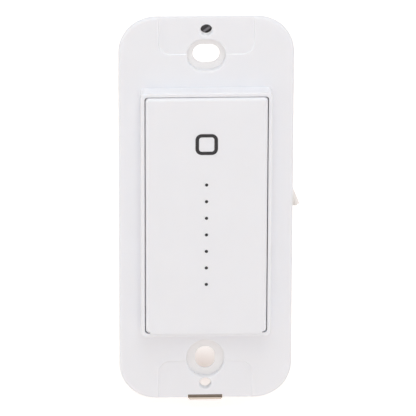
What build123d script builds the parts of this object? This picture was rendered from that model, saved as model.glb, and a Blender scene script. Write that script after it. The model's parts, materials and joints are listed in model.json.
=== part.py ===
from build123d import *
import math
import os

# A single-gang smart dimmer for a wall box. X runs right, Y runs into the wall, Z runs up.
# The origin is the centre of the mounting strap's rear face, the plane that meets the box ears.

# Cover screws: the strap is tapped for them, the bezel's holes have a chamfered edge
COVER_SCREW_MINOR = 2.95
COVER_HOLE_EDGE = 0.25

# Mounting strap
STRAP_THICK = 0.7
STRAP_INSET = 1.3
STRAP_LIP_SIDE = 2.55
STRAP_LIP_END = 1.75
STRAP_WINDOW_R = 1.2
TOP_SLOT_W = 6.7
TOP_SLOT_H = 4.8
BOTTOM_SLOT_W = 4.85
BOTTOM_SLOT_H = 5.95

# Front bezel: its two lands run past the nose, with the fixings and cover screws at standard spacings
BEZEL_W = 44.1
BEZEL_LAND = 18.95
BEZEL_DROP = 0.2
FIXING_FROM_END = 10.53
COVER_FROM_END = 3.78
BEZEL_R = 9.5
BEZEL_THICK = 1.9
BEZEL_EDGE = 0.7
BEZEL_RIM = 1.1
BEZEL_RIM_STEP = 0.6
SKIRT_GAP = 0.1
RECESS_TOP_W = 9.6
RECESS_TOP_H = 8.3
RECESS_BOTTOM_W = 9.4
RECESS_BOTTOM_H = 10.4
RECESS_BOTTOM_RISE = 0.3
PAD_W = 24.2
PAD_REACH = 10.25
PAD_R = 3.0
PAD_DEPTH = 0.3
PAD_SLOPE = 0.25
NOSE_W = 33.1
NOSE_H = 66.5
NOSE_R = 1.3
NOSE_RISE = 4.2
NOSE_WALL = 0.96
NOSE_EDGE = 0.25
NOTCH_W = 9.2
NOTCH_H = 0.9
NOTCH_R = 0.3
CUP_WALL = 0.9
STAKE_X = 14.0
STAKE_FROM_NOSE = 4.25
STAKE_R = 1.0
STAKE_HEAD_R = 1.5
STAKE_HEAD_H = 0.3
STAKE_FIT = 0.04

# Paddle
PADDLE_GAP = 0.2
PADDLE_PROUD = 0.5
PADDLE_SKIN = 1.3
PADDLE_WALL = 1.2
PADDLE_R = 1.0
PADDLE_EDGE = 0.9
PADDLE_LIP_W = 28.6
PADDLE_LIP_OVER = 0.08
PADDLE_LIP_EDGE = 0.15
PADDLE_STOP_GAP = 0.17
PIVOT_Z = 1.57
PIVOT_DEPTH = 3.9
PIVOT_R = 0.8
PIVOT_FIT = 0.05
PIVOT_REACH = 0.82
PRESS_ANGLE = 0.85
PRESSER_R = 1.9
PRESSER_GAP = 0.05
SPRING_CUP_R = 2.9
SPRING_CUP_WALL = 0.6
SPRING_CUP_H = 1.4

# Mark and level windows in the paddle's face
MARK_FROM_TOP = 12.4
MARK_SIZE = 5.65
MARK_STROKE = 0.9
MARK_R = 1.6
INLAY_DEPTH = 0.4
DOT_COUNT = 7
DOTS_FROM_MARK = 10.96
DOTS_FROM_BOTTOM = 13.562
DOT_R = 0.42

# Light guide behind the paddle's face
GUIDE_W = 3.6
GUIDE_THICK = 1.0
GUIDE_POST_R = 1.1
GUIDE_END = 1.5
GUIDE_MARGIN = 2.6

# Front board with its lamps and press switch
FRONT_BOARD_W = 26.0
FRONT_BOARD_TOP_ROOM = 1.15
FRONT_BOARD_HINGE_ROOM = 9.92
FRONT_BOARD_Y = 0.3
BOARD_THICK = 1.0
BOARD_R = 1.0
LAMP_W = 1.6
LAMP_H = 0.8
LAMP_THICK = 0.7
TACT_FROM_SIDE = 6.89
TACT_LEVER = 17.8
TACT_SIZE = 6.0
TACT_R = 0.6
TACT_THICK = 2.5
TACT_LID = 0.3
TACT_PLUNGER_R = 1.6
TACT_PLUNGER_RISE = 1.0
TACT_FIT = 0.08
TACT_TRAVEL_ROOM = 0.5

# Paddle return springs
SPRING_FROM_WALL = 4.69
SPRING_FROM_BOARD_TOP = 6.0
SPRING_R = 2.0
SPRING_WIRE = 0.22
SPRING_TURNS = 4
SPRING_SEAT = 0.06

# Rear housing
HOUSING_SIDE_ROOM = 2.3
HOUSING_END_ROOM = 5.8
HOUSING_R = 3.0
HOUSING_STRAIGHT = 14.0
HOUSING_DEEP = 34.0
HOUSING_TAPER_W = 2.8
HOUSING_TAPER_H = 7.4
HOUSING_REAR_R = 4.0
HOUSING_WALL = 1.6
HOUSING_FLOOR = 1.8
HOUSING_REAR_EDGE = 1.2
WELL_FROM_SIDE = 4.4
WELL_FROM_END = 5.0
WELL_R = 2.5
WELL_WALL = 1.1
WELL_FLOOR = 9.0
VENT_COUNT = 6
VENT_W = 1.6
VENT_H = 9.0
VENT_PITCH = 3.4
VENT_FROM_TOP = 14.0
WIRE_GUIDE_W = 30.0
WIRE_GUIDE_H = 0.8
WIRE_GUIDE_RISE = 1.0

# Housing screws
SCREW_R = 1.2
SCREW_FIT = 0.08
SCREW_HEAD_R = 2.2
SCREW_HEAD_H = 1.6
SCREW_TIP_SHORT = 0.1
DRIVE_W = 0.6
DRIVE_L = 3.0
DRIVE_DEEP = 0.8

# Inner frame behind the strap
FRAME_GAP = 0.25
FRAME_THICK = 1.7
FRAME_RIM = 1.4
FRAME_POST_R = 1.7
FRAME_POST_X = 11.5
FRAME_POST_FROM_BOTTOM = 2.5
FRAME_POST_FROM_TOP = 3.0
RAIL_THICK = 1.2
RAIL_REACH = 5.0
RAIL_OVER_ARM = 6.3
RAIL_UNDER_ARM = 6.4

# Air-gap pull
AIRGAP_TRAVEL = 3.5
BLADE_THICK = 0.6
BLADE_GAP = 0.05
TAB_W = 8.9
TAB_DROP = 0.74
TAB_LIP = 0.5
TAB_R = 0.7
BLADE_W = 17.6
ARM_W = 2.2
ARM_RISE = 8.6
BLADE_SLOT_R = 1.9
TONGUE_REACH = 7.2
CARRIER_FRONT = 3.2
CARRIER_DEPTH = 5.0
CARRIER_H = 3.2
CARRIER_SIDE_GAP = 0.3
CARRIER_R = 0.4
BRIDGE_THICK = 0.5
BRIDGE_W = 14.0
BRIDGE_H = 2.2
CONTACT_X = 5.2
CONTACT_W = 3.0
CONTACT_THICK = 0.4
CONTACT_GAP = 0.15
CONTACT_OVERLAP = 1.8
CONTACT_LENGTH = 6.4

# Control board and what it carries
CONTROL_W = 27.0
CONTROL_RAIL_ROOM = 2.0
CONTROL_TOP_ROOM = 4.55
CONTROL_Y = 6.0
SHIELD_W = 15.0
SHIELD_H = 17.6
SHIELD_THICK = 2.4
SHIELD_WALL = 0.3
SHIELD_X = 0.0
SHIELD_FROM_TOP = 11.5
HEADER_X = 6.0
HEADER_FROM_BOTTOM = 4.5
HEADER_W = 2.6
HEADER_H = 10.2
HEADER_PIN_COUNT = 4
HEADER_PIN_PITCH = 2.54
HEADER_PIN_R = 0.32

# Power board and what it carries
POWER_SIDE_ROOM = 3.5
POWER_CHOKE_ROOM = 3.9
POWER_Y = 14.0
POWER_THICK = 1.6
POWER_R = 4.6
POWER_POST_R = 1.6
POWER_POST_X = 12.5
POWER_POST_FROM_END = 4.0
CHOKE_X = -6.0
CHOKE_Z = 12.6
CHOKE_R = 6.2
CHOKE_TUBE = 2.5
WINDING_THICK = 0.8
CHOKE_SEAT = 1.0
WINDING_ANGLE = 310.0
CAN_X = 9.5
CAN_Z = 16.0
CAN_R = 4.0
CAN_H = 12.0
CAN_GROOVE = 0.35
FILM_W = 17.5
FILM_T = 6.0
FILM_H = 11.0
FILM_X = -5.0
FILM_Z = 0.0
FUSE_X = 11.5
FUSE_DROP = 1.6
FUSE_R = 2.4
FUSE_H = 9.5
DISC_X = 9.7
DISC_FROM_SPREADER = 9.2
DISC_R = 4.6
DISC_T = 3.4
CORE_X = -5.0
CORE_Z = -13.0
CORE_W = 13.0
CORE_H = 11.0
CORE_DEPTH = 10.5
CORE_LIMB = 2.4
SOFT_EDGE = 0.6

# Heat spreader with the two power transistors
SPREADER_THICK = 1.2
SPREADER_X = 16.1
SPREADER_FROM_WELL = 15.4
SPREADER_H = 15.6
SPREADER_DEEP = 27.5
SPREADER_FLANGE = 2.3
TRANSISTOR_W = 4.2
TRANSISTOR_H = 6.6
TRANSISTOR_L = 9.2
TRANSISTOR_PITCH = 7.4
TRANSISTOR_FROM = 17.2
CLAMP_SCREW_R = 1.0
CLAMP_HEAD_R = 1.7
CLAMP_HEAD_H = 0.9
INSULATOR_THICK = 0.25

# Lead outlets in the rear wall
OUTLET_COUNT = 4
OUTLET_PITCH = 8.0
OUTLET_FROM_BOTTOM = 7.0
SEAL_R = 2.2
SEAL_LIP_R = 2.9
SEAL_LIP = 1.2
SEAL_BORE_R = 1.35
SEAL_FIT = 0.05

# Black lead: its route runs up behind the housing, over the top right corner and down the side
LEAD_R = 1.3
STRAND_R = 0.98
STRAND_END_R = 0.45
STRAND_KNEE = 4.0
BEND_SHARE = 0.45
LEAD_ROUTE = [
    (-12.0, 35.2, -19.0),
    (-12.0, 44.2, -19.0),
    (-11.8, 49.8, -12.1),
    (-11.5, 49.6, 0.0),
    (-10.5, 45.5, 13.5),
    (-6.3, 40.5, 27.0),
    (2.6, 39.2, 35.0),
    (13.0, 38.2, 32.6),
    (21.4, 36.0, 21.0),
    (20.6, 32.5, 9.0),
    (21.6, 29.0, -1.0),
]
STRAND_TIP = (24.45, 27.2, -11.5)

OVERRUN = 1.0

# Places that follow from the sizes above
STRAP_FRONT = -STRAP_THICK
BEZEL_FRONT = STRAP_FRONT - BEZEL_THICK
NOSE_FRONT = BEZEL_FRONT - NOSE_RISE
PADDLE_FRONT = NOSE_FRONT - PADDLE_PROUD
PADDLE_INSIDE = PADDLE_FRONT + PADDLE_SKIN
PADDLE_W = NOSE_W - 2 * NOSE_WALL - 2 * PADDLE_GAP
PADDLE_H = NOSE_H - 2 * NOSE_WALL - 2 * PADDLE_GAP
PADDLE_TOP = PADDLE_H / 2
PADDLE_BOTTOM = -PADDLE_TOP
HINGE_Z = PADDLE_BOTTOM + PIVOT_Z
HINGE_Y = -PIVOT_DEPTH
PRESS_DEPTH = (PADDLE_H - PIVOT_Z) * math.sin(math.radians(PRESS_ANGLE))
PADDLE_SKIRT_END = STRAP_THICK + PADDLE_STOP_GAP + PRESS_DEPTH
MARK_Z = PADDLE_TOP - MARK_FROM_TOP
DOT_TOP_Z = MARK_Z - DOTS_FROM_MARK
DOT_PITCH = (DOT_TOP_Z - PADDLE_BOTTOM - DOTS_FROM_BOTTOM) / (DOT_COUNT - 1)
FRONT_BOARD_BOTTOM = HINGE_Z + FRONT_BOARD_HINGE_ROOM
SPRING_X = PADDLE_W / 2 - PADDLE_WALL - SPRING_FROM_WALL
TACT_X = TACT_FROM_SIDE - PADDLE_W / 2
TACT_Z = HINGE_Z + TACT_LEVER
TACT_FACE = FRONT_BOARD_Y - TACT_THICK - TACT_PLUNGER_RISE
FRAME_FRONT = FRONT_BOARD_Y + BOARD_THICK
FRAME_REAR = FRAME_FRONT + FRAME_THICK
BLADE_REAR = STRAP_FRONT - BLADE_GAP
BLADE_FRONT = BLADE_REAR - BLADE_THICK
POCKET_FRONT = BLADE_FRONT - BLADE_GAP
BEZEL_H = NOSE_H + 2 * BEZEL_LAND
BEZEL_BOTTOM = -BEZEL_H / 2 - BEZEL_DROP
BEZEL_TOP = BEZEL_H / 2 - BEZEL_DROP
COVER_Z = BEZEL_H / 2 - COVER_FROM_END
FIXING_Z = BEZEL_H / 2 - FIXING_FROM_END
STRAP_WINDOW_W = NOSE_W - 2 * STRAP_LIP_SIDE
STRAP_WINDOW_H = NOSE_H - 2 * STRAP_LIP_END
POWER_H = 2 * (CHOKE_Z + CHOKE_R + CHOKE_TUBE + WINDING_THICK + POWER_CHOKE_ROOM)
HOUSING_W = 2 * (SPREADER_X + HOUSING_SIDE_ROOM + HOUSING_WALL)
HOUSING_H = POWER_H + 2 * (HOUSING_END_ROOM + HOUSING_WALL)
HOUSING_REAR_W = HOUSING_W - 2 * HOUSING_TAPER_W
HOUSING_REAR_H = HOUSING_H - 2 * HOUSING_TAPER_H
WELL_X = HOUSING_W / 2 - WELL_FROM_SIDE
WELL_Z = HOUSING_H / 2 - WELL_FROM_END
STAKE_Z = NOSE_H / 2 + STAKE_FROM_NOSE
VENT_Z = HOUSING_REAR_H / 2 - VENT_FROM_TOP
OUTLET_Z = OUTLET_FROM_BOTTOM - HOUSING_REAR_H / 2
FRAME_W = HOUSING_W - 2 * HOUSING_WALL - 2 * FRAME_GAP
FRAME_H = HOUSING_H - 2 * HOUSING_WALL - 2 * FRAME_GAP
FRONT_BOARD_TOP = FRAME_H / 2 - FRAME_RIM - FRONT_BOARD_TOP_ROOM
SPRING_Z = FRONT_BOARD_TOP - SPRING_FROM_BOARD_TOP
ARM_TOP = ARM_RISE - HOUSING_H / 2
ARM_X = BLADE_W / 2 - ARM_W / 2
RAIL_X = ARM_X + ARM_W / 2 + CARRIER_SIDE_GAP + CARRIER_SIDE_GAP
RAIL_TOP = ARM_TOP + RAIL_OVER_ARM
RAIL_BOTTOM = ARM_TOP - RAIL_UNDER_ARM
CARRIER_TOP = ARM_TOP
CARRIER_REAR = CARRIER_FRONT + CARRIER_DEPTH
BRIDGE_REAR = CARRIER_REAR + BRIDGE_THICK
CONTACT_FRONT = BRIDGE_REAR + CONTACT_GAP
CONTROL_BOTTOM = RAIL_TOP + CONTROL_RAIL_ROOM
CONTROL_TOP = FRAME_H / 2 - CONTROL_TOP_ROOM
FRAME_POST_LOW = CONTROL_BOTTOM + FRAME_POST_FROM_BOTTOM
FRAME_POST_HIGH = CONTROL_TOP - FRAME_POST_FROM_TOP
SHIELD_Z = CONTROL_TOP - SHIELD_FROM_TOP
HEADER_Z = CONTROL_BOTTOM + HEADER_FROM_BOTTOM
POWER_REAR = POWER_Y + POWER_THICK
POWER_W = HOUSING_W - 2 * POWER_SIDE_ROOM
POWER_POST_Z = POWER_H / 2 - POWER_POST_FROM_END
SPREADER_Z = SPREADER_FROM_WELL - WELL_Z
DISC_Z = SPREADER_Z + DISC_FROM_SPREADER
FUSE_Z = (DISC_Z + CAN_Z) / 2 - FUSE_DROP


def face_at(y):
    """A drawing plane at depth y: its x is X, its y is Z, and it faces the room."""
    return Plane(origin=(0, y, 0), x_dir=(1, 0, 0), z_dir=(0, -1, 0))


def slab(outline, back, front):
    """The outline from depth back to depth front."""
    return extrude(face_at(back) * outline, amount=back - front)


def at(x, z, outline):
    return Pos(x, z) * outline


def rounded(width, height, radius):
    return RectangleRounded(width, height, radius)


def upright_slot(width, height):
    return SlotOverall(height, width, rotation=90)


def bezel_outline(inset):
    """The bezel's outline, drawn in by an inset all round."""
    outline = rounded(BEZEL_W - 2 * inset, BEZEL_H - 2 * inset, BEZEL_R - inset)
    return at(0, -BEZEL_DROP, outline)


def box_between(low, high):
    size = [b - a for a, b in zip(low, high)]
    middle = [(a + b) / 2 for a, b in zip(low, high)]
    return Pos(*middle) * Box(*size)


def front_edges(shape, depth):
    """Edges of the shape that lie in the plane at this depth."""
    return shape.edges().filter_by_position(Axis.Y, depth, depth)


def save(name, shape):
    export_step(shape, f"parts/{name}.step")


def group(solids):
    return Compound(children=list(solids))


def dot_heights():
    return [DOT_TOP_Z - i * DOT_PITCH for i in range(DOT_COUNT)]


def bottom_recess(margin):
    """The bezel's oval recess round the bottom fixing slot, grown by a margin all round."""
    oval = upright_slot(RECESS_BOTTOM_W + 2 * margin, RECESS_BOTTOM_H + 2 * margin)
    return at(0, RECESS_BOTTOM_RISE - FIXING_Z, oval)


def bezel():
    body = slab(bezel_outline(0), BEZEL_FRONT + BEZEL_RIM, BEZEL_FRONT)
    body = fillet(front_edges(body, BEZEL_FRONT), BEZEL_EDGE)
    back = bezel_outline(BEZEL_RIM_STEP)
    body += slab(back, STRAP_FRONT, BEZEL_FRONT + BEZEL_RIM)
    body += slab(back - bezel_outline(STRAP_INSET - SKIRT_GAP), -SKIRT_GAP, STRAP_FRONT)
    for side in (1, -1):
        body -= end_pad(side * BEZEL_H / 2)
    for oval in (at(0, FIXING_Z, SlotOverall(RECESS_TOP_W, RECESS_TOP_H)), bottom_recess(0)):
        body -= slab(oval, STRAP_FRONT + OVERRUN, BEZEL_FRONT - OVERRUN)
    for side in (1, -1):
        body -= cover_hole(side * COVER_Z)
    nose = slab(rounded(NOSE_W, NOSE_H, NOSE_R), STRAP_FRONT, NOSE_FRONT)
    nose = fillet(front_edges(nose, NOSE_FRONT), NOSE_EDGE)
    opening = rounded(NOSE_W - 2 * NOSE_WALL, NOSE_H - 2 * NOSE_WALL, NOSE_R - NOSE_WALL / 2)
    body += nose
    body -= slab(opening, STRAP_FRONT + OVERRUN, NOSE_FRONT - OVERRUN)
    body -= blade_pocket()
    body += stakes(STAKE_R, STAKE_HEAD_R)
    notch = at(0, BEZEL_BOTTOM, rounded(NOTCH_W, 2 * NOTCH_H, NOTCH_R))
    body -= slab(notch, OVERRUN, BEZEL_FRONT - OVERRUN)
    return body - pivot_holes()


def end_pad(end):
    """A shallow lowered pad at one end of the bezel's face, with sloping walls."""
    wide = at(0, end, rounded(PAD_W, 2 * PAD_REACH, PAD_R))
    floor = at(0, end, rounded(PAD_W - 2 * PAD_SLOPE, 2 * (PAD_REACH - PAD_SLOPE), PAD_R - PAD_SLOPE))
    return loft([face_at(BEZEL_FRONT) * wide, face_at(BEZEL_FRONT + PAD_DEPTH) * floor], ruled=True)


def cover_hole(z):
    """A through hole for a cover screw, wider at the bezel's face, which the pad lowers."""
    radius = COVER_SCREW_MINOR / 2
    hole = slab(at(0, z, Circle(radius)), STRAP_FRONT + OVERRUN, BEZEL_FRONT - OVERRUN)
    face = BEZEL_FRONT + PAD_DEPTH
    wide = face_at(face) * at(0, z, Circle(radius + COVER_HOLE_EDGE))
    narrow = face_at(face + COVER_HOLE_EDGE) * at(0, z, Circle(radius))
    return hole + loft([wide, narrow])


def blade_pocket():
    """Room behind the bezel's bottom end, where the air-gap blade slides."""
    width = BLADE_W + 2 * CARRIER_SIDE_GAP
    top = -NOSE_H / 2 + NOSE_WALL + OVERRUN
    bottom = BEZEL_BOTTOM - OVERRUN
    wide_bottom = BEZEL_BOTTOM + STRAP_INSET
    rear = STRAP_FRONT + OVERRUN
    wide = box_between((-width / 2, POCKET_FRONT, wide_bottom), (width / 2, rear, top))
    mouth = NOTCH_W / 2
    narrow = box_between((-mouth, POCKET_FRONT, bottom), (mouth, rear, wide_bottom))
    return wide + narrow - slab(bottom_recess(CUP_WALL), OVERRUN, POCKET_FRONT - OVERRUN)


def stakes(shank_r, head_r):
    """Four heat stakes that hold the strap to the bezel, flush with the strap's rear, or their holes."""
    body = None
    for sx in (1, -1):
        for sz in (1, -1):
            place = (sx * STAKE_X, sz * STAKE_Z)
            stake = slab(at(*place, Circle(shank_r)), 0, STRAP_FRONT)
            stake += slab(at(*place, Circle(head_r)), 0, -STAKE_HEAD_H)
            body = stake if body is None else body + stake
    return body


def pivot_pins(radius, reach):
    """The two hinge pins at the paddle's bottom corners, or their holes."""
    half = PADDLE_W / 2
    pins = []
    for side in (1, -1):
        plane = Plane(origin=(side * (half - PADDLE_WALL / 2), HINGE_Y, HINGE_Z), z_dir=(side, 0, 0))
        pins.append(extrude(plane * Circle(radius), amount=PADDLE_WALL / 2 + reach))
    return pins


def pivot_holes():
    holes = pivot_pins(PIVOT_R + PIVOT_FIT, PIVOT_REACH + PIVOT_FIT)
    return holes[0] + holes[1]


def mark_outline():
    inner = MARK_SIZE - 2 * MARK_STROKE
    return rounded(MARK_SIZE, MARK_SIZE, MARK_R) - rounded(inner, inner, MARK_R - MARK_STROKE)


def paddle():
    body = slab(rounded(PADDLE_W, PADDLE_H, PADDLE_R), -PADDLE_SKIRT_END, PADDLE_FRONT)
    body = fillet(front_edges(body, PADDLE_FRONT), PADDLE_EDGE)
    inside = rounded(PADDLE_W - 2 * PADDLE_WALL, PADDLE_H - 2 * PADDLE_WALL, PADDLE_R / 2)
    body -= slab(inside, OVERRUN, PADDLE_INSIDE)
    body += paddle_lip()
    for pin in pivot_pins(PIVOT_R, PIVOT_REACH):
        body += pin
    presser_end = TACT_FACE - PRESSER_GAP
    body += slab(at(TACT_X, TACT_Z, Circle(PRESSER_R)), presser_end, PADDLE_INSIDE)
    for side in (1, -1):
        cup = Circle(SPRING_CUP_R) - Circle(SPRING_CUP_R - SPRING_CUP_WALL)
        body += slab(at(side * SPRING_X, SPRING_Z, cup), PADDLE_INSIDE + SPRING_CUP_H, PADDLE_INSIDE)
    body -= slab(at(0, MARK_Z, mark_outline()), PADDLE_FRONT + INLAY_DEPTH, PADDLE_FRONT - OVERRUN)
    for z in dot_heights():
        body -= slab(at(0, z, Circle(DOT_R)), PADDLE_FRONT + INLAY_DEPTH, PADDLE_FRONT - OVERRUN)
    return body


def paddle_lip():
    """Thin lip at the hinge end, which hides the gap by lying over the nose's bottom wall."""
    bottom = PADDLE_BOTTOM - PADDLE_GAP - PADDLE_LIP_OVER
    top = PADDLE_BOTTOM + PADDLE_EDGE
    outline = at(0, (top + bottom) / 2, rounded(PADDLE_LIP_W, top - bottom, PADDLE_LIP_EDGE))
    lip = slab(outline, NOSE_FRONT - PIVOT_FIT, PADDLE_FRONT)
    front = lip.edges().filter_by(Axis.X).filter_by_position(Axis.Y, PADDLE_FRONT, PADDLE_FRONT)
    return fillet(front.sort_by(Axis.Z)[0], PADDLE_LIP_EDGE)


def mark_window():
    return slab(at(0, MARK_Z, mark_outline()), PADDLE_FRONT + INLAY_DEPTH, PADDLE_FRONT)


def dot_windows():
    depth = PADDLE_FRONT + INLAY_DEPTH
    return group(slab(at(0, z, Circle(DOT_R)), depth, PADDLE_FRONT) for z in dot_heights())


def light_guide():
    top = MARK_Z + GUIDE_MARGIN
    bottom = dot_heights()[-1] - GUIDE_MARGIN
    strip = at(0, (top + bottom) / 2, rounded(GUIDE_W, top - bottom, GUIDE_W / 3))
    body = slab(strip, PADDLE_INSIDE + GUIDE_THICK, PADDLE_INSIDE)
    for z in dot_heights() + [MARK_Z]:
        body += slab(at(0, z, Circle(GUIDE_POST_R)), -GUIDE_END, PADDLE_INSIDE)
    return body


def paddle_springs():
    """Two compression springs, from the front board to the paddle's inner face."""
    length = FRONT_BOARD_Y - PADDLE_INSIDE - 2 * SPRING_WIRE - 2 * SPRING_SEAT
    pitch = length / SPRING_TURNS
    coils = []
    for side in (1, -1):
        path = Helix(pitch, length, SPRING_R)
        section = Plane(path @ 0, z_dir=path % 0) * RegularPolygon(SPRING_WIRE, 6)
        coil = sweep(section, path=path)
        start = FRONT_BOARD_Y - SPRING_WIRE - SPRING_SEAT
        coils.append(Pos(side * SPRING_X, start, SPRING_Z) * Rot(90, 0, 0) * coil)
    return group(coils)


def front_board():
    middle = (FRONT_BOARD_TOP + FRONT_BOARD_BOTTOM) / 2
    board = at(0, middle, rounded(FRONT_BOARD_W, FRONT_BOARD_TOP - FRONT_BOARD_BOTTOM, BOARD_R))
    return slab(board, FRAME_FRONT, FRONT_BOARD_Y)


def level_lamps():
    front = FRONT_BOARD_Y - LAMP_THICK
    lamp = Rectangle(LAMP_W, LAMP_H)
    return group(slab(at(0, z, lamp), FRONT_BOARD_Y, front) for z in dot_heights() + [MARK_Z])


def tact_switch():
    case = slab(at(TACT_X, TACT_Z, rounded(TACT_SIZE, TACT_SIZE, TACT_R)), FRONT_BOARD_Y,
                FRONT_BOARD_Y - TACT_THICK)
    lid_size = TACT_SIZE - TACT_R
    case = fillet(front_edges(case, FRONT_BOARD_Y - TACT_THICK), TACT_LID)
    well_r = TACT_PLUNGER_R + TACT_FIT
    well_end = FRONT_BOARD_Y - TACT_THICK + TACT_TRAVEL_ROOM + TACT_LID
    case -= slab(at(TACT_X, TACT_Z, Circle(well_r)), well_end, FRONT_BOARD_Y - TACT_THICK - OVERRUN)
    reach = TACT_SIZE / 2 + TACT_R
    for side in (1, -1):
        z = TACT_Z + side * lid_size / 4
        case += box_between((TACT_X - reach, FRONT_BOARD_Y - TACT_LID, z - TACT_LID),
                            (TACT_X + reach, FRONT_BOARD_Y, z + TACT_LID))
    return case


def tact_plunger():
    rear = FRONT_BOARD_Y - TACT_THICK + TACT_TRAVEL_ROOM
    body = slab(at(TACT_X, TACT_Z, Circle(TACT_PLUNGER_R)), rear, TACT_FACE)
    return chamfer(front_edges(body, TACT_FACE), TACT_FIT)


def strap():
    plate = bezel_outline(STRAP_INSET)
    plate -= rounded(STRAP_WINDOW_W, STRAP_WINDOW_H, STRAP_WINDOW_R)
    plate -= at(0, FIXING_Z, SlotOverall(TOP_SLOT_W, TOP_SLOT_H))
    plate -= at(0, -FIXING_Z, upright_slot(BOTTOM_SLOT_W, BOTTOM_SLOT_H))
    for side in (1, -1):
        plate -= at(0, side * COVER_Z, Circle(COVER_SCREW_MINOR / 2))
    for x, z in well_places():
        plate -= at(x, z, Circle(SCREW_R))
    return slab(plate, 0, STRAP_FRONT) - stakes(STAKE_R + STAKE_FIT, STAKE_HEAD_R + STAKE_FIT)


def well_places():
    return [(sx * WELL_X, sz * WELL_Z) for sx in (1, -1) for sz in (1, -1)]


def tapered_block(less, front, floor):
    """The housing's outline less a wall all round: a straight front part and a tapered rear."""
    wide = rounded(HOUSING_W - 2 * less, HOUSING_H - 2 * less, HOUSING_R)
    rear = rounded(HOUSING_REAR_W - 2 * less, HOUSING_REAR_H - 2 * less, HOUSING_REAR_R)
    block = slab(wide, HOUSING_STRAIGHT, front)
    return block + loft([face_at(HOUSING_STRAIGHT) * wide, face_at(floor) * rear], ruled=True)


def rear_housing():
    shell = tapered_block(0, 0, HOUSING_DEEP)
    shell = fillet(front_edges(shell, HOUSING_DEEP), HOUSING_REAR_EDGE)
    cavity = tapered_block(HOUSING_WALL, -OVERRUN, HOUSING_DEEP - HOUSING_FLOOR)
    posts = None
    for x, z in well_places():
        post = slab(at(x, z, Circle(WELL_R + WELL_WALL)), HOUSING_DEEP, FRAME_REAR + FRAME_GAP)
        posts = post if posts is None else posts + post
    for sx in (1, -1):
        for sz in (1, -1):
            place = at(sx * POWER_POST_X, sz * POWER_POST_Z, Circle(POWER_POST_R))
            posts += slab(place, HOUSING_DEEP - HOUSING_FLOOR, POWER_REAR)
    body = shell - cavity
    body += posts & shell
    for x, z in well_places():
        body -= slab(at(x, z, Circle(WELL_R)), HOUSING_DEEP + OVERRUN, WELL_FLOOR)
        body -= slab(at(x, z, Circle(SCREW_R + SCREW_FIT)), WELL_FLOOR + OVERRUN, -OVERRUN)
    for x in outlet_places():
        outlet = at(x, OUTLET_Z, Circle(SEAL_R))
        body -= slab(outlet, HOUSING_DEEP + OVERRUN, HOUSING_DEEP - HOUSING_FLOOR - OVERRUN)
    for i in range(VENT_COUNT):
        x = (i - (VENT_COUNT - 1) / 2) * VENT_PITCH
        slot = at(x, VENT_Z, upright_slot(VENT_W, VENT_H))
        body -= slab(slot, HOUSING_DEEP + OVERRUN, HOUSING_DEEP - HOUSING_FLOOR - OVERRUN)
    ledge_z = OUTLET_Z + SEAL_LIP_R + WIRE_GUIDE_RISE
    ledge = box_between((-WIRE_GUIDE_W / 2, HOUSING_DEEP - HOUSING_FLOOR / 2, ledge_z),
                        (WIRE_GUIDE_W / 2, HOUSING_DEEP + WIRE_GUIDE_RISE, ledge_z + WIRE_GUIDE_H))
    return body + ledge


def outlet_places():
    return [(i - (OUTLET_COUNT - 1) / 2) * OUTLET_PITCH for i in range(OUTLET_COUNT)]


def lead_seals():
    """Soft seals in the four outlets: the first holds the black lead, the rest are empty."""
    seals = []
    inner = HOUSING_DEEP - HOUSING_FLOOR
    for i, x in enumerate(outlet_places()):
        body = slab(at(x, OUTLET_Z, Circle(SEAL_R - SEAL_FIT)), HOUSING_DEEP, inner)
        lip = slab(at(x, OUTLET_Z, Circle(SEAL_LIP_R)), HOUSING_DEEP + SEAL_LIP, HOUSING_DEEP)
        lip = chamfer(front_edges(lip, HOUSING_DEEP + SEAL_LIP), SEAL_LIP / 2)
        body += lip
        if i > 0:
            bore = at(x, OUTLET_Z, Circle(SEAL_BORE_R))
            body -= slab(bore, HOUSING_DEEP + SEAL_LIP + OVERRUN, inner + SEAL_LIP)
        seals.append(body)
    return group(seals)


def housing_screws():
    screws = []
    for x, z in well_places():
        shank = slab(at(x, z, Circle(SCREW_R)), WELL_FLOOR, STRAP_FRONT + SCREW_TIP_SHORT)
        head = slab(at(x, z, Circle(SCREW_HEAD_R)), WELL_FLOOR + SCREW_HEAD_H, WELL_FLOOR)
        head = chamfer(front_edges(head, WELL_FLOOR + SCREW_HEAD_H), SCREW_HEAD_H / 4)
        drive = Rectangle(DRIVE_W, DRIVE_L) + Rectangle(DRIVE_L, DRIVE_W)
        top = WELL_FLOOR + SCREW_HEAD_H
        screws.append(shank + head - slab(at(x, z, drive), top + OVERRUN, top - DRIVE_DEEP))
    return group(screws)


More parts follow.
